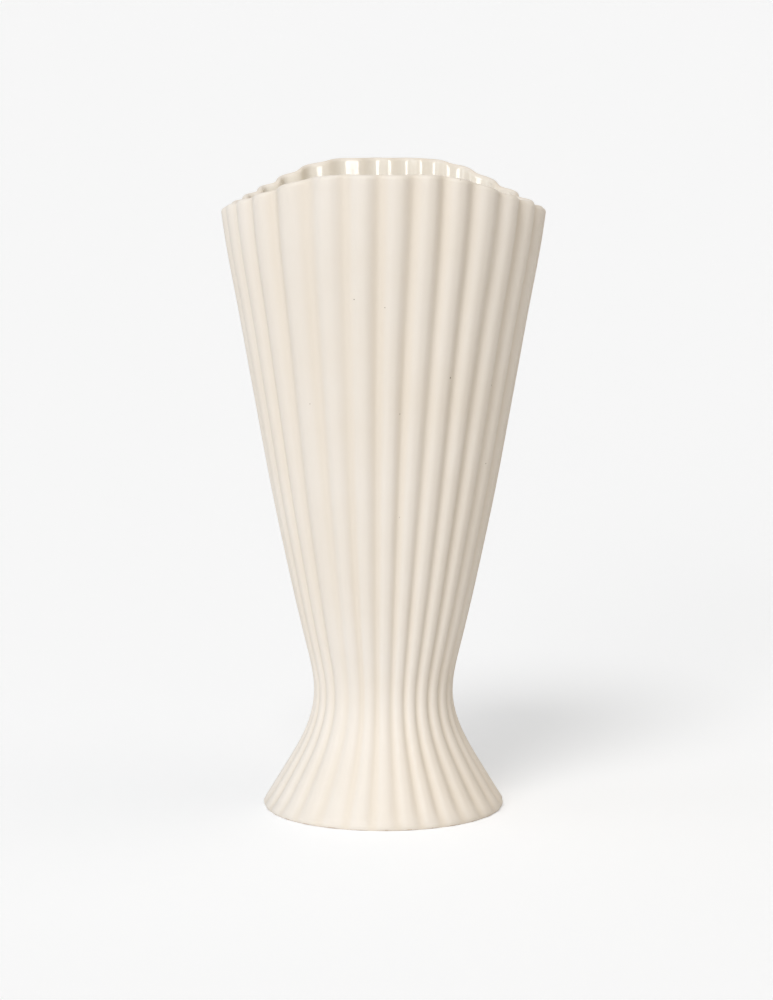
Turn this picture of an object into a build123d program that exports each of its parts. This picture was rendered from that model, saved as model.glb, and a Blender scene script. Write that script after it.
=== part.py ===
"""Fluted ceramic fan vase, in millimetres, standing on z = 0.

The front of the vase faces -Y and its width runs along X. It is a stoneware
body and a flared foot, luted at the waist with a spigot in a socket, a base
plate set in under the foot, and a gloss glaze that lines the inside.
"""
import math
import os

from build123d import *

# Overall form; the rim is level in the middle, and slopes down past round shoulders
overall_height = 280.0
rim_dip = 18.0
rim_level_width = 60.0
rim_shoulder_round = 70.0
mouth_width = 140.0
waist_height = 50.5
waist_diameter = 60.9
foot_diameter = 105.6
foot_edge_height = 2.0
foot_edge_round = 0.9

# Flutes: rounded ribs that lean a little between the waist and the rim
flute_count = 30
rim_flute_depth = 3.0
waist_flute_depth = 1.0
foot_flute_depth = 1.3
edge_flute_depth = 0.5
flute_turn = 1.0
flute_lean = 3.8

# Walls behind the grooves, measured level, with the inner glaze counted in
rim_wall = 2.8
waist_wall = 6.5
foot_wall = 7.5
glaze = 0.6
glaze_gap = 0.15

# Waist joint and base plate
spigot_length = 8.0
joint_clearance = 0.3
base_recess = 2.0
base_thickness = 5.0
base_ledge = 3.0
base_clearance = 0.3
base_chamfer = 0.8

# How far cutting shapes run past what they cut
overrun = 6.0

# The outline as shares of the radius between waist and foot, and between waist
# and mouth, at even steps of height: from the foot edge up to the waist, and
# from the waist up to the two low ends of the rim
foot_radius_shares = (1.0, 0.555, 0.165)
body_radius_shares = (0.0, 0.085, 0.21, 0.325, 0.435, 0.535, 0.63, 0.725, 0.82, 0.92, 1.0)
top_flare_share = 0.5

rim_end_height = overall_height - rim_dip
body_rise = rim_end_height - waist_height
foot_drop = waist_height - foot_edge_height
waist_radius = waist_diameter / 2
foot_radius = foot_diameter / 2
mouth_radius = mouth_width / 2
floor_height = base_recess + base_thickness
pitch = 360 / flute_count


def between(low, high, share):
    """The size that lies a share of the way from one size to another."""
    return low + (high - low) * share


def foot_station(height_share, radius_share):
    """Height, radius, flute depth, wall and turn of the skin below the waist."""
    height = waist_height - foot_drop * height_share
    radius = between(waist_radius, foot_radius, radius_share)
    flute = between(waist_flute_depth, foot_flute_depth, radius_share)
    if height_share == 1:
        flute = edge_flute_depth
    return height, radius, flute, between(waist_wall, foot_wall, height_share), flute_turn


def body_station(height_share, radius_share):
    """Height, radius, flute depth, wall and turn of the skin above the waist."""
    height = waist_height + body_rise * height_share
    radius = between(waist_radius, mouth_radius, radius_share)
    flute = between(waist_flute_depth, rim_flute_depth, radius_share)
    turn = flute_turn + flute_lean * height_share
    return height, radius, flute, between(waist_wall, rim_wall, height_share), turn


# The stations run on above the rim, which the arch then trims
top_height_share = (overall_height + overrun - waist_height) / body_rise
top_radius_share = between(1, top_height_share, top_flare_share)
foot_steps = len(foot_radius_shares)
body_steps = len(body_radius_shares) - 1
stations = [foot_station(1 - step / foot_steps, share) for step, share in enumerate(foot_radius_shares)]
stations += [body_station(step / body_steps, share) for step, share in enumerate(body_radius_shares)]
stations.append(body_station(top_height_share, top_radius_share))


def inside_radius(height, inset):
    """Radius of the hollow at a height, read straight between the stations, less an inset."""
    for lower, upper in zip(stations, stations[1:]):
        if height <= upper[0]:
            break
    share = (height - lower[0]) / (upper[0] - lower[0])
    radius, flute, wall = (between(lower[i], upper[i], share) for i in (1, 2, 3))
    return radius - flute - wall - inset


def fluted_ring(radius, flute, turn):
    """One level outline: a ring of rounded ribs that meet in grooves."""

    def at(distance, angle):
        return distance * math.sin(math.radians(angle)), -distance * math.cos(math.radians(angle))

    for rib in range(flute_count):
        middle = turn + rib * pitch
        groove_before = at(radius - flute, middle - pitch / 2)
        groove_after = at(radius - flute, middle + pitch / 2)
        ThreePointArc(groove_before, at(radius, middle), groove_after)


def hollow(inset, bottom):
    """The space inside the wall, an inset within the glaze, from its floor to above the rim."""
    heights = [bottom] + [station[0] for station in stations if station[0] > bottom]
    wall_points = [(inside_radius(height, inset), height) for height in heights]
    with BuildPart() as space:
        with BuildSketch(Plane.XZ):
            with BuildLine():
                Polyline((0, bottom), *wall_points, (0, heights[-1]), close=True)
            make_face()
        revolve(axis=Axis.Z)
    return space.part


# The rim's line, seen from the front, and all that lies over it
rim_reach = mouth_radius + overrun
rim_level_half = rim_level_width / 2
rim_slope_share = rim_dip / (mouth_radius - rim_level_half)
rim_low = overall_height - rim_slope_share * (rim_reach - rim_level_half)
rim_corners = (
    (-rim_reach, rim_low),
    (-rim_level_half, overall_height),
    (rim_level_half, overall_height),
    (rim_reach, rim_low),
)
above_all = overall_height + overrun
with BuildPart() as above_rim:
    with BuildSketch(Plane.XZ):
        with BuildLine():
            rim_line = FilletPolyline(*rim_corners, radius=rim_shoulder_round)
            Polyline(rim_line @ 1, (rim_reach, above_all), (-rim_reach, above_all), rim_line @ 0)
        make_face()
    extrude(amount=rim_reach, both=True)

# The fluted outside, from the standing edge to above the rim
with BuildPart() as fluted_form:
    for height, radius, flute, wall, turn in stations:
        with BuildSketch(Plane.XY.offset(height)):
            with BuildLine():
                fluted_ring(radius, flute, turn)
            make_face()
    loft()

clay_hollow = hollow(-glaze - glaze_gap, floor_height)
glaze_outside = hollow(-glaze, floor_height + glaze_gap)
glaze_inside = hollow(0, floor_height + glaze_gap + glaze)

# The spigot takes half of the clay at the waist
waist_groove_radius = waist_radius - waist_flute_depth
spigot_radius = waist_groove_radius - (waist_wall - glaze - glaze_gap) / 2

# Vase body: the fluted clay wall from the waist to the rim, with its spigot
with BuildPart() as vase_body:
    add(fluted_form.part)
    split(bisect_by=Plane.XY.offset(waist_height), keep=Keep.TOP)
    with BuildSketch(Plane.XY.offset(waist_height)):
        Circle(spigot_radius)
    extrude(amount=-spigot_length)
    add(clay_hollow, mode=Mode.SUBTRACT)
    add(above_rim.part, mode=Mode.SUBTRACT)
vase_body.part.label = "vase_body"

# Flared foot: the clay under the waist, with the spigot's socket, a plain
# rounded standing edge, and the seat of the base plate
plate_seat_radius = inside_radius(floor_height, 0) + base_ledge
with BuildPart() as flared_foot:
    with BuildSketch():
        Circle(foot_radius - edge_flute_depth)
    extrude(amount=foot_edge_height)
    fillet(flared_foot.edges().group_by(Axis.Z)[0], foot_edge_round)
    add(fluted_form.part)
    split(bisect_by=Plane.XY.offset(waist_height), keep=Keep.BOTTOM)
    add(clay_hollow, mode=Mode.SUBTRACT)
    with BuildSketch(Plane.XY.offset(waist_height)):
        Circle(spigot_radius + joint_clearance)
    extrude(amount=-spigot_length - joint_clearance, mode=Mode.SUBTRACT)
    with BuildSketch():
        Circle(plate_seat_radius)
    extrude(amount=floor_height, mode=Mode.SUBTRACT)
flared_foot.part.label = "flared_foot"

# Base plate: the disc that closes the vase, set up inside the standing edge
with BuildPart() as base_plate:
    with BuildSketch(Plane.XY.offset(base_recess)):
        Circle(plate_seat_radius - base_clearance)
    extrude(amount=base_thickness)
    chamfer(base_plate.edges().group_by(Axis.Z)[0], base_chamfer)
base_plate.part.label = "base_plate"

# Inner glaze: the gloss coat on the inside wall and on the base plate
with BuildPart() as inner_glaze:
    add(glaze_outside)
    add(glaze_inside, mode=Mode.SUBTRACT)
    add(above_rim.part, mode=Mode.SUBTRACT)
inner_glaze.part.label = "inner_glaze"

os.makedirs("parts", exist_ok=True)
for piece in (vase_body, flared_foot, base_plate, inner_glaze):
    export_step(piece.part, f"parts/{piece.part.label}.step")
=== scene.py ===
import math

import bpy
import numpy as np
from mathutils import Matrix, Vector


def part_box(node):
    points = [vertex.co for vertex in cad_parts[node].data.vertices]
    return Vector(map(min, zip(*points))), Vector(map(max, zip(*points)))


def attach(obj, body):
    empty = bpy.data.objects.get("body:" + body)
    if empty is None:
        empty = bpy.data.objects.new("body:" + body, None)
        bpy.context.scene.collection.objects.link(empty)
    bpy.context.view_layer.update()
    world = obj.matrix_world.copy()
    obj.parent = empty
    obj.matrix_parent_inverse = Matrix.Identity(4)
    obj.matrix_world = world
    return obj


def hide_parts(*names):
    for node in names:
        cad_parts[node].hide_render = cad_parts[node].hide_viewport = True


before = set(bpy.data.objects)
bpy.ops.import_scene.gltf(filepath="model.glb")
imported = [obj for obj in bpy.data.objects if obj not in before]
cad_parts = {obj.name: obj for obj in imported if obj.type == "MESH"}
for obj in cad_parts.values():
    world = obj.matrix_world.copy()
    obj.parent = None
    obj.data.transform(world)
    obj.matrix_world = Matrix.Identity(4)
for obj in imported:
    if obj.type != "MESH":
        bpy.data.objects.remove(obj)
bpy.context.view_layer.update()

MM = 0.001

# Sizes read from the frame
body_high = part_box("vase_body")[1]
foot_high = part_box("flared_foot")[1]
plate_low, plate_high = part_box("base_plate")
HEIGHT = body_high.z
MOUTH_RADIUS = body_high.x
FOOT_RADIUS = foot_high.x
WAIST_HEIGHT = foot_high.z
FLOOR_HEIGHT = plate_high.z
PLATE_RADIUS = plate_high.x
PLATE_RECESS = plate_low.z

# The vase's own form, as in the solids; the ribs inside and the thicker rim wall
# that goes with them are this script's own
RIM_DIP = 18 * MM
RIM_LEVEL_HALF = 30 * MM
RIM_SHOULDER_ROUND = 70 * MM
WAIST_RADIUS = 30.45 * MM
FOOT_EDGE = 2 * MM
FOOT_ROUND = 0.9 * MM
FLUTES = 30
FLUTE_TURN = math.radians(1)
FLUTE_LEAN = math.radians(3.8)
RIM_FLUTE = 3 * MM
WAIST_FLUTE = 1 * MM
FOOT_FLUTE = 1.3 * MM
EDGE_FLUTE = 0.5 * MM
RIM_WALL = 3.3 * MM
WAIST_WALL = 6.5 * MM
FOOT_WALL = 7.5 * MM
INNER_FLUTE_SHARE = 0.9
FOOT_SHARES = (1.0, 0.555, 0.165)
BODY_SHARES = (0.0, 0.085, 0.21, 0.325, 0.435, 0.535, 0.63, 0.725, 0.82, 0.92, 1.0)
TOP_FLARE_SHARE = 0.5

# Outside, ribs are broader than the grooves between them; inside, both are alike
GROOVE_POWER = 1.5
INNER_GROOVE_POWER = 1

# The rim steps a little from rib to rib, and its front sides are higher than the back's
RIM_STEP_SHARE = 0.2
RIM_STEP_POWER = 5
FRONT_LIFT = 1.6 * MM
FRONT_LIFT_POWER = 4

# No two ribs of a fired vase are quite alike, and on the left they stand further round
DEPTH_SPREAD_SHARE = 0.25
PLACE_SPREAD = math.radians(0.35)
PLACE_DRIFT = math.radians(2)
PLACE_DRIFT_WAVES = 5
LEFT_SHIFT = math.radians(4.6)
LEFT_SHIFT_FROM = math.radians(-20)
LEFT_SHIFT_FULL = math.radians(-55)
LEFT_SHIFT_BACK = math.radians(-95)
LEFT_SHIFT_END = math.radians(-144)
WOBBLE = 0.12 * MM

# Slow waves of that unevenness: how many go round the vase, how far a seed moves
# them and how far a metre of height does, both in radians
UNEVEN_WAVES = ((3, 1.7, 9), (7, 4.1, -14), (11, 2.3, 23))
PLACE_SEED = 1
INNER_SEED = 2
OUTER_SEED = 3
DEPTH_SEED = 4

# The glaze ends on the lip, where it thins out, and the corner at the floor is round
GLAZE = 0.35 * MM
GLAZE_GAP = 0.03 * MM
GLAZE_LIP_STEPS = 2
GLAZE_FADE_STEPS = 5
FLOOR_ROUND = 6 * MM

# The base plate's seat in the wall: the gap round the plate and the bevel below it
SEAT_GAP = 0.3 * MM
SEAT_EDGE = 0.4 * MM

# Clay is bare where the vase stands and on what faces down; on the foot edge's downward rounding the
# darker bare clay is also a painted shadow line along the bottom edge
BARE_HEIGHT = 0.15 * MM
BARE_AND_SHADOW_SLOPE = -0.5

# Mesh steps
STEPS_PER_FLUTE = 16
WALL_STEPS = 105
INNER_STEPS = 80
RIM_STEPS = 14
CORNER_STEPS = 6
SHARP_EDGE = math.radians(60)
SHORTEST_STEP = 1e-6 * MM

# Finishes: a pale tone and the warmer one that it drifts to and that the grooves take as pooled glaze
# and painted shade, the specks' colour, lowest and highest roughness, a clear coat and the height of the
# grain
SATIN = dict(
    pale=(0.855, 0.81, 0.75, 1),
    warm=(0.79, 0.715, 0.61, 1),
    speck=(0.24, 0.175, 0.12, 1),
    roughness=(0.5, 0.66),
    coat=0.0,
    grain=0.06 * MM,
)
BARE = dict(
    pale=(0.70, 0.60, 0.50, 1),
    warm=(0.60, 0.50, 0.41, 1),
    speck=(0.30, 0.22, 0.16, 1),
    roughness=(0.8, 0.95),
    coat=0.0,
    grain=0.2 * MM,
)
GLOSS = dict(
    pale=(0.91, 0.87, 0.79, 1),
    warm=(0.87, 0.805, 0.70, 1),
    speck=(0.24, 0.175, 0.12, 1),
    roughness=(0.1, 0.2),
    coat=0.6,
    grain=0.02 * MM,
)
COAT_ROUGHNESS = 0.08
GRAIN_STRENGTH = 0.35

# Noise of the tone, the roughness and the grain: cells a metre, detail and roughness
TONE_NOISE = (18, 4, 0.5)
MATT_NOISE = (260, 3, 0.5)
GRAIN_NOISE = (900, 4, 0.6)
NOISE_RANGE = (0.3, 0.7)

# The most of the warm tone that the drift brings, and that the grooves take, partly as pooled glaze and
# partly as painted shade in the grooves
DRIFT_SHARE = 0.5
POOL_AND_SHADE_FROM = 0.35
POOL_AND_SHADE_SHARE = 0.55

# Specks: how many cells a metre, radius, and the share of cells that hold one
SPECKS = ((160, 0.3 * MM, 0.12), (110, 0.5 * MM, 0.1))
SPECK_CORE_SHARE = 0.6

# The photograph's frame and the camera that took it
IMAGE_WIDTH = 773
IMAGE_HEIGHT = 1000
CAMERA_DISTANCE = 1.543
CAMERA_HEIGHT = 0.363
CAMERA_TILT = math.radians(8.405)
FOCAL_PIXELS = 3585
AXIS_PIXEL = 383.5

# Lamps: name, degrees right of the camera, degrees up, degrees across and strength.
# A soft key gives the shadow, a wide panel lights the front, a low window shines in
# the gloss inside, and a weak panel and a high fill lighten the two sides
LAMPS = (
    ("key", -20, 53, 22, 0.82),
    ("front_panel", -25, 15, 26, 0.87),
    ("window", -8, 7, 13, 0.25),
    ("left_panel", -85, 15, 26, 0.15),
    ("right_fill", 90, 70, 45, 0.36),
)

# The surround is dimmer and warmer on the right; the floor is lifted to its level
SURROUND_LEFT = (0.365, 0.384, 0.413, 1)
SURROUND_RIGHT = (0.391, 0.318, 0.223, 1)
BACKGROUND_COLOUR = (1, 1, 1, 1)
BACKGROUND_LEVEL = 0.93
FLOOR_SIZE = 80.0
FLOOR_COLOUR = (0.85, 0.85, 0.85, 1)

# The colour sockets of a Mix node share their names with others, so they go by place
MIX_COLOUR_INPUTS = (6, 7)
MIX_COLOUR_OUTPUT = 2

columns = FLUTES * STEPS_PER_FLUTE
around = np.arange(columns) * (math.tau / columns)
pitch = math.tau / FLUTES
quarter_turn = math.pi / 2


def between(low, high, share):
    return low + (high - low) * share


def eased(value, start, end):
    """0 up to the start, 1 from the end on, and smooth between them."""
    share = np.clip((value - start) / (end - start), 0, 1)
    return share**2 * (3 - 2 * share)


def swell(angle):
    """0 at each whole turn and 1 halfway to the next."""
    return 0.5 - 0.5 * np.cos(angle)


def smooth_curve(knots, values):
    """A natural cubic spline through the knots, as a function."""
    knots = np.asarray(knots, float)
    values = np.asarray(values, float)
    steps = np.diff(knots)
    slopes = np.diff(values) / steps
    count = len(knots)
    matrix = np.eye(count)
    right = np.zeros(count)
    for i in range(1, count - 1):
        matrix[i, i - 1:i + 2] = steps[i - 1], 2 * (steps[i - 1] + steps[i]), steps[i]
        right[i] = 6 * (slopes[i] - slopes[i - 1])
    bends = np.linalg.solve(matrix, right)

    def curve(at):
        at = np.asarray(at, float)
        i = np.clip(np.searchsorted(knots, at) - 1, 0, count - 2)
        before = (at - knots[i]) / steps[i]
        after = 1 - before
        line = after * values[i] + before * values[i + 1]
        bend = (after**3 - after) * bends[i] + (before**3 - before) * bends[i + 1]
        return line + bend * steps[i]**2 / 6

    return curve


def outline():
    """Radius of the ribs' crests at any height."""
    rim_end = HEIGHT - RIM_DIP
    foot_steps = len(FOOT_SHARES)
    body_steps = len(BODY_SHARES) - 1
    heights = [between(FOOT_EDGE, WAIST_HEIGHT, i / foot_steps) for i in range(foot_steps)]
    heights += [between(WAIST_HEIGHT, rim_end, i / body_steps) for i in range(body_steps + 1)]
    heights.append(HEIGHT)
    radii = [between(WAIST_RADIUS, FOOT_RADIUS, share) for share in FOOT_SHARES]
    radii += [between(WAIST_RADIUS, MOUTH_RADIUS, share) for share in BODY_SHARES]
    beyond = (HEIGHT - WAIST_HEIGHT) / (rim_end - WAIST_HEIGHT)
    radii.append(between(WAIST_RADIUS, MOUTH_RADIUS, between(1, beyond, TOP_FLARE_SHARE)))
    return smooth_curve(heights, radii)


crest_radius = outline()
key_heights = (0, FOOT_EDGE, FLOOR_HEIGHT, WAIST_HEIGHT, HEIGHT)
key_flutes = (0, EDGE_FLUTE, FOOT_FLUTE, WAIST_FLUTE, RIM_FLUTE)
key_walls = (FOOT_WALL, FOOT_WALL, FOOT_WALL, WAIST_WALL, RIM_WALL)


def flute_depth(height):
    return np.interp(height, key_heights, key_flutes)


def wall_depth(height):
    """Wall behind the crests, measured level."""
    behind_groove = np.interp(height, key_heights, key_walls)
    return behind_groove + (1 - INNER_FLUTE_SHARE) * flute_depth(height)


def uneven(seed, height):
    """A slow, repeatable unevenness between -1 and 1, one value for each column."""
    total = 0
    for count, start, rise in UNEVEN_WAVES:
        total = total + np.sin(count * around + start * seed + rise * height)
    return total / len(UNEVEN_WAVES)


def rib_place(height):
    """-1 to 1 across each rib, 0 on its crest, for each column."""
    share = np.clip((height - WAIST_HEIGHT) / (HEIGHT - RIM_DIP - WAIST_HEIGHT), 0, None)
    side = (around + math.pi) % math.tau - math.pi
    left = eased(side, LEFT_SHIFT_FROM, LEFT_SHIFT_FULL) * eased(side, LEFT_SHIFT_END, LEFT_SHIFT_BACK)
    drift = PLACE_DRIFT * swell(PLACE_DRIFT_WAVES * around)
    shift = drift + LEFT_SHIFT * left + PLACE_SPREAD * uneven(PLACE_SEED, height)
    turns = (around - FLUTE_TURN - FLUTE_LEAN * share + shift) / pitch
    return 2 * (turns - np.round(turns))


def groove(height, power=GROOVE_POWER):
    """0 on the crest of a rib and about 1 at the bottom of a groove, for each column."""
    depth = 1 + DEPTH_SPREAD_SHARE * uneven(DEPTH_SEED, height)
    return depth * swell(math.pi * rib_place(height))**power


def outer_radius(height):
    cut = flute_depth(height) * groove(height)
    return crest_radius(height) - cut + WOBBLE * uneven(OUTER_SEED, height)


def inner_radius(height):
    cut = INNER_FLUTE_SHARE * flute_depth(height) * groove(height, INNER_GROOVE_POWER)
    return crest_radius(height) - wall_depth(height) - cut + WOBBLE * uneven(INNER_SEED, height)


def rim_height():
    """The rim: level in the middle, sloping past round shoulders, and stepped from rib to rib."""
    place = rib_place(HEIGHT - RIM_DIP)
    stepped = np.sign(place) * np.abs(place)**RIM_STEP_POWER
    turn = around + 0.5 * pitch * RIM_STEP_SHARE * (stepped - place)
    aside = np.abs(MOUTH_RADIUS * np.sin(turn))
    slope = math.atan2(RIM_DIP, MOUTH_RADIUS - RIM_LEVEL_HALF)
    past = np.clip(aside - RIM_LEVEL_HALF + RIM_SHOULDER_ROUND * math.tan(slope / 2), 0, None)
    bend = RIM_SHOULDER_ROUND - np.sqrt(np.clip(RIM_SHOULDER_ROUND**2 - past**2, 0, None))
    straight = (aside - RIM_LEVEL_HALF) * math.tan(slope)
    line = HEIGHT - np.where(past < RIM_SHOULDER_ROUND * math.sin(slope), bend, straight)
    front_sides = np.sin(turn)**FRONT_LIFT_POWER * np.clip(np.cos(turn), 0, None)
    return line + FRONT_LIFT * front_sides / front_sides.max()


def level_row(radius, height):
    """A row at one height, of one radius or of a radius for each column."""
    return np.broadcast_to(radius, columns), np.full(columns, height, float)


def finished_surface():
    """Rows of radius and height for each column: up the outside, over the rim, down
    the inside and round the corner to the floor."""
    top = rim_height()
    lip = 0.5 * (outer_radius(top) - inner_radius(top))
    shoulder = top - lip
    rows = []
    ring_radius = FOOT_RADIUS - FOOT_ROUND
    for i in range(CORNER_STEPS):
        turn = i / CORNER_STEPS * quarter_turn
        radius = ring_radius + (outer_radius(FOOT_EDGE) - ring_radius) * math.sin(turn)
        rows.append(level_row(radius, FOOT_EDGE * (1 - math.cos(turn))))
    for i in range(WALL_STEPS):
        height = between(FOOT_EDGE, shoulder, i / (WALL_STEPS - 1))
        rows.append((outer_radius(height), height))
    outside = outer_radius(shoulder)
    inside = inner_radius(shoulder)
    middle = (outside + inside) / 2
    half = (outside - inside) / 2
    for i in range(1, RIM_STEPS):
        turn = math.pi * i / RIM_STEPS
        rows.append((middle + half * math.cos(turn), shoulder + lip * math.sin(turn)))
    floor = FLOOR_HEIGHT + GLAZE + GLAZE_GAP
    for i in range(INNER_STEPS):
        height = between(shoulder, floor + FLOOR_ROUND, i / (INNER_STEPS - 1))
        rows.append((inner_radius(height), height))
    corner = inner_radius(np.full(columns, floor + FLOOR_ROUND)) - FLOOR_ROUND
    for i in range(1, CORNER_STEPS + 1):
        turn = i / CORNER_STEPS * quarter_turn
        height = floor + FLOOR_ROUND * (1 - math.sin(turn))
        rows.append(level_row(corner + FLOOR_ROUND * math.cos(turn), height))
    return np.array(rows)


surface = finished_surface()
inner_row = CORNER_STEPS + WALL_STEPS + RIM_STEPS - 1
edge_row = inner_row - GLAZE_LIP_STEPS
floor_row = len(surface) - 1


def sunk(rows, depths):
    """Rows of the finished surface moved into the clay by a depth for each row."""
    along = np.gradient(rows, axis=0)
    length = np.maximum(np.linalg.norm(along, axis=1), SHORTEST_STEP)
    into = np.stack([-along[:, 1], along[:, 0]], axis=1) / length[:, None, :]
    return rows + into * depths[:, None, None]


def groove_rows(rows):
    """How deep in a groove each point of some rows lies."""
    return np.array([np.clip(groove(row[1]), 0, 1) for row in rows])


def add_piece(name, rows, closed):
    """A mesh of rings round the vase's axis, one for each row and joined row to row.

    A closed piece joins its last row to its first, and any other has a cap on both.
    """
    count = len(rows)
    x = rows[:, 0] * np.sin(around)
    y = -rows[:, 0] * np.cos(around)
    points = np.stack([x, y, rows[:, 1]], axis=-1).reshape(-1, 3)
    here = np.arange(columns)
    after = np.roll(here, -1)
    faces = []
    for row in range(count if closed else count - 1):
        low = row * columns
        high = (row + 1) % count * columns
        faces += np.stack([low + here, low + after, high + after, high + here], axis=1).tolist()
    if not closed:
        faces.append(((count - 1) * columns + here).tolist())
        faces.append(here[::-1].tolist())
    mesh = bpy.data.meshes.new(name)
    mesh.from_pydata(points.tolist(), [], faces)
    mesh.polygons.foreach_set("use_smooth", [True] * len(mesh.polygons))
    layer = mesh.attributes.new("groove", "FLOAT", "POINT")
    layer.data.foreach_set("value", groove_rows(rows).astype(np.float32).ravel())
    mesh.validate()
    mesh.set_sharp_from_angle(angle=SHARP_EDGE)
    piece = bpy.data.objects.new(name, mesh)
    bpy.context.scene.collection.objects.link(piece)
    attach(piece, "root")
    return piece


def clay_wall():
    """Body and foot as one wall, which is sunk under the glaze inside."""
    fade = np.clip((np.arange(len(surface)) - edge_row) / GLAZE_FADE_STEPS, 0, 1)
    shell = sunk(surface, fade * GLAZE)[:floor_row - CORNER_STEPS]
    inside = shell[-1, 0]
    seat = PLATE_RADIUS + SEAT_GAP
    under = [
        level_row(inside, FLOOR_HEIGHT),
        level_row(seat, FLOOR_HEIGHT),
        level_row(seat, PLATE_RECESS),
        level_row(seat, SEAT_EDGE),
        level_row(seat + SEAT_EDGE, 0),
    ]
    piece = add_piece("fluted_wall", np.concatenate([shell, under]), True)
    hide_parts("vase_body", "flared_foot")
    return piece


def gloss_lining():
    """The gloss coat, from its thin edge on the rim down to the floor."""
    front = surface[edge_row:]
    fade = np.clip(np.arange(len(front)) / GLAZE_FADE_STEPS, 0, 1)
    back = sunk(front, fade * (GLAZE - GLAZE_GAP))[1:]
    piece = add_piece("gloss_lining", np.concatenate([back[::-1], front]), False)
    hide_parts("inner_glaze")
    return piece


def noise(nodes, links, place, scale, detail, roughness):
    node = nodes.new("ShaderNodeTexNoise")
    node.inputs["Scale"].default_value = scale
    node.inputs["Detail"].default_value = detail
    node.inputs["Roughness"].default_value = roughness
    links.new(place, node.inputs["Vector"])
    return node.outputs["Fac"]


def remap(nodes, links, value, low, high, to_low, to_high):
    node = nodes.new("ShaderNodeMapRange")
    for name, number in zip(("From Min", "From Max", "To Min", "To Max"), (low, high, to_low, to_high)):
        node.inputs[name].default_value = number
    links.new(value, node.inputs["Value"])
    return node.outputs["Result"]


def compute(nodes, links, operation, first, second):
    """The two sockets joined by a math operation."""
    node = nodes.new("ShaderNodeMath")
    node.operation = operation
    links.new(first, node.inputs[0])
    links.new(second, node.inputs[1])
    return node.outputs[0]


def mix_colour(nodes, links, factor, first, second):
    """Mix of two colours, each a value or a socket."""
    node = nodes.new("ShaderNodeMix")
    node.data_type = "RGBA"
    links.new(factor, node.inputs["Factor"])
    for place, colour in zip(MIX_COLOUR_INPUTS, (first, second)):
        if isinstance(colour, tuple):
            node.inputs[place].default_value = colour
        else:
            links.new(colour, node.inputs[place])
    return node.outputs[MIX_COLOUR_OUTPUT]


def specks(nodes, links, place, scale, radius, share):
    """1 inside sparse round specks, 0 elsewhere."""
    cells = nodes.new("ShaderNodeTexVoronoi")
    cells.inputs["Scale"].default_value = scale
    links.new(place, cells.inputs["Vector"])
    edge = radius * scale
    inside = remap(nodes, links, cells.outputs["Distance"], SPECK_CORE_SHARE * edge, edge, 1, 0)
    split = nodes.new("ShaderNodeSeparateColor")
    links.new(cells.outputs["Color"], split.inputs["Color"])
    chosen = nodes.new("ShaderNodeMath")
    chosen.operation = "LESS_THAN"
    chosen.inputs[1].default_value = share
    links.new(split.outputs["Red"], chosen.inputs[0])
    return compute(nodes, links, "MULTIPLY", inside, chosen.outputs[0])


def bump(nodes, links, height, strength, distance):
    node = nodes.new("ShaderNodeBump")
    node.inputs["Strength"].default_value = strength
    node.inputs["Distance"].default_value = distance
    links.new(height, node.inputs["Height"])
    return node.outputs["Normal"]


def stoneware(name, pale, warm, speck, roughness, coat, grain):
    """Stoneware: a pale tone that drifts, warmer and darker in the grooves (partly pooled glaze, partly
    painted shade), with fine specks and grain.
    """
    material = bpy.data.materials.new(name)
    material.use_nodes = True
    nodes, links = material.node_tree.nodes, material.node_tree.links
    shader = nodes["Principled BSDF"]
    place = nodes.new("ShaderNodeTexCoord").outputs["Object"]
    drift = remap(nodes, links, noise(nodes, links, place, *TONE_NOISE), *NOISE_RANGE, 0, DRIFT_SHARE)
    tone = mix_colour(nodes, links, drift, pale, warm)
    # The grooves take the warm tone: partly pooled glaze, partly painted shade where the grooves lie in
    # shade
    depth = nodes.new("ShaderNodeAttribute")
    depth.attribute_name = "groove"
    pooled_and_shade = remap(nodes, links, depth.outputs["Fac"], POOL_AND_SHADE_FROM, 1, 0, POOL_AND_SHADE_SHARE)
    tone = mix_colour(nodes, links, pooled_and_shade, tone, warm)
    for scale, radius, share in SPECKS:
        inside = specks(nodes, links, place, scale, radius, share)
        tone = mix_colour(nodes, links, inside, tone, speck)
    links.new(tone, shader.inputs["Base Color"])
    matt = remap(nodes, links, noise(nodes, links, place, *MATT_NOISE), *NOISE_RANGE, *roughness)
    links.new(matt, shader.inputs["Roughness"])
    shader.inputs["Coat Weight"].default_value = coat
    shader.inputs["Coat Roughness"].default_value = COAT_ROUGHNESS
    fine = bump(nodes, links, noise(nodes, links, place, *GRAIN_NOISE), GRAIN_STRENGTH, grain)
    links.new(fine, shader.inputs["Normal"])
    return material


def dress_pieces(wall, lining, plate):
    """Satin outside, gloss inside, and bare clay under the vase, whose darker tone on the foot edge's
    downward rounding is partly a painted shadow line.
    """
    satin = stoneware("satin_stoneware", **SATIN)
    bare = stoneware("bare_stoneware", **BARE)
    gloss = stoneware("gloss_glaze", **GLOSS)
    wall.data.materials.append(satin)
    wall.data.materials.append(bare)
    lining.data.materials.append(gloss)
    plate.data.materials.clear()
    plate.data.materials.append(bare)
    # Faces turned down get the darker bare clay: real bare clay under the vase, and partly a painted
    # shadow line along the foot's bottom edge
    for polygon in wall.data.polygons:
        bare_and_shadow_here = polygon.center.z < BARE_HEIGHT or polygon.normal.z < BARE_AND_SHADOW_SLOPE
        polygon.material_index = int(bare_and_shadow_here)


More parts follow.
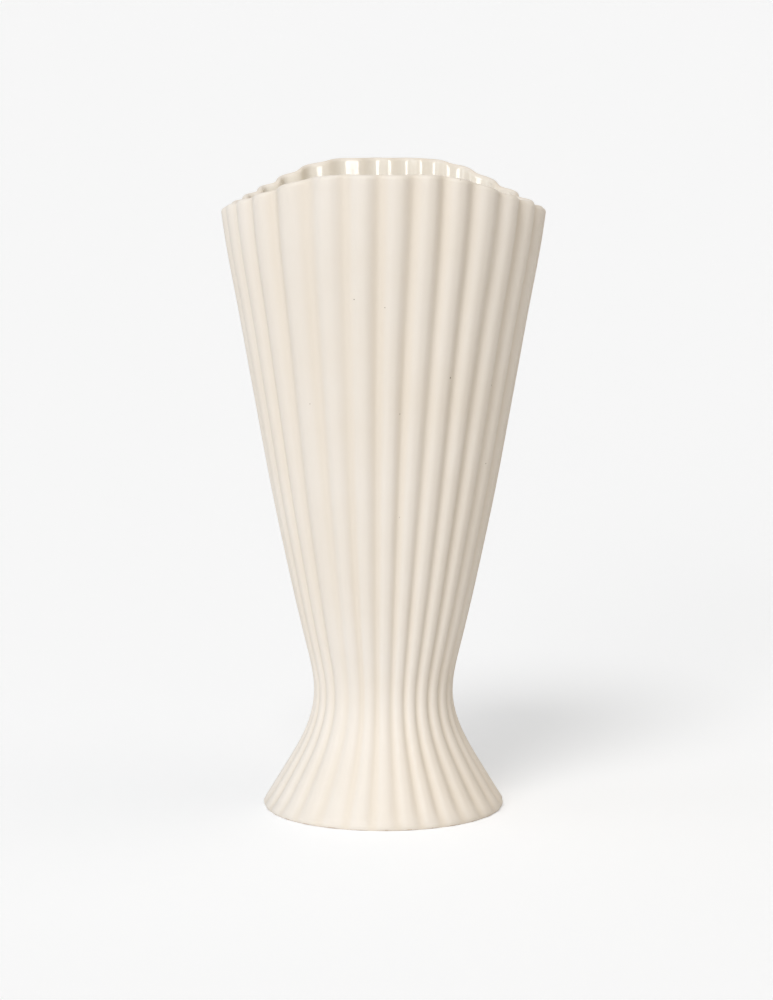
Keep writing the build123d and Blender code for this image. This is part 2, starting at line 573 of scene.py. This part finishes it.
def light_mix(nodes, links, plain, seen):
    """One shader for light on the object, and another for what is seen, also in gloss and glass."""
    path = nodes.new("ShaderNodeLightPath")
    total = path.outputs["Is Camera Ray"]
    for name in ("Is Glossy Ray", "Is Transmission Ray"):
        total = compute(nodes, links, "MAXIMUM", total, path.outputs[name])
    mix = nodes.new("ShaderNodeMixShader")
    links.new(total, mix.inputs[0])
    links.new(plain, mix.inputs[1])
    links.new(seen, mix.inputs[2])
    return mix.outputs[0]


def floor_lift():
    """What an open floor lacks of the background's level, beyond its lamps and surround."""
    lamps = sum(strength * math.sin(math.radians(rise)) for _, _, rise, _, strength in LAMPS) / math.pi
    surround = (np.array(SURROUND_LEFT) + np.array(SURROUND_RIGHT)) / 2
    return BACKGROUND_LEVEL - np.array(FLOOR_COLOUR) * (surround + lamps)


def make_floor():
    """A wide pale floor that takes the shadow, lifted to the background's level where it is seen."""
    bpy.ops.mesh.primitive_plane_add(size=FLOOR_SIZE)
    floor = bpy.context.object
    floor.name = "floor"
    material = bpy.data.materials.new("pale_floor")
    material.use_nodes = True
    nodes, links = material.node_tree.nodes, material.node_tree.links
    nodes.clear()
    output = nodes.new("ShaderNodeOutputMaterial")
    diffuse = nodes.new("ShaderNodeBsdfDiffuse")
    diffuse.inputs["Color"].default_value = FLOOR_COLOUR
    lift = nodes.new("ShaderNodeEmission")
    lift.inputs["Color"].default_value = floor_lift()
    seen = nodes.new("ShaderNodeAddShader")
    links.new(diffuse.outputs[0], seen.inputs[0])
    links.new(lift.outputs[0], seen.inputs[1])
    mixed = light_mix(nodes, links, diffuse.outputs[0], seen.outputs[0])
    links.new(mixed, output.inputs["Surface"])
    floor.data.materials.append(material)


def make_surround():
    """A soft surround, cool on the left and warm on the right, seen as the pale background."""
    world = bpy.data.worlds.new("surround")
    bpy.context.scene.world = world
    world.use_nodes = True
    nodes, links = world.node_tree.nodes, world.node_tree.links
    light = nodes["Background"]
    aside = nodes.new("ShaderNodeSeparateXYZ")
    links.new(nodes.new("ShaderNodeTexCoord").outputs["Generated"], aside.inputs[0])
    rightward = remap(nodes, links, aside.outputs["X"], -1, 1, 0, 1)
    links.new(mix_colour(nodes, links, rightward, SURROUND_LEFT, SURROUND_RIGHT), light.inputs["Color"])
    seen = nodes.new("ShaderNodeBackground")
    seen.inputs["Color"].default_value = BACKGROUND_COLOUR
    seen.inputs["Strength"].default_value = BACKGROUND_LEVEL
    mixed = light_mix(nodes, links, light.outputs[0], seen.outputs[0])
    links.new(mixed, nodes["World Output"].inputs["Surface"])


def make_lamp(name, turn, rise, across, strength):
    """A far, soft lamp."""
    data = bpy.data.lights.new(name, "SUN")
    data.energy = strength
    data.angle = math.radians(across)
    lamp = bpy.data.objects.new(name, data)
    turn, rise = math.radians(turn), math.radians(rise)
    towards = Vector((math.cos(rise) * math.sin(turn), -math.cos(rise) * math.cos(turn), math.sin(rise)))
    lamp.rotation_euler = towards.to_track_quat("Z", "Y").to_euler()
    bpy.context.scene.collection.objects.link(lamp)


def make_camera():
    """The photograph's camera: straight in front, looking a little down."""
    data = bpy.data.cameras.new("camera")
    data.sensor_fit = "VERTICAL"
    data.lens = FOCAL_PIXELS / IMAGE_HEIGHT * data.sensor_height
    data.shift_x = (IMAGE_WIDTH / 2 - AXIS_PIXEL) / IMAGE_HEIGHT
    camera = bpy.data.objects.new("camera", data)
    camera.location = (0, -CAMERA_DISTANCE, CAMERA_HEIGHT)
    camera.rotation_euler = (quarter_turn - CAMERA_TILT, 0, 0)
    bpy.context.scene.collection.objects.link(camera)
    bpy.context.scene.camera = camera


dress_pieces(clay_wall(), gloss_lining(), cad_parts["base_plate"])
make_floor()
make_surround()
for lamp in LAMPS:
    make_lamp(*lamp)
make_camera()
bpy.context.scene.view_settings.view_transform = "Standard"
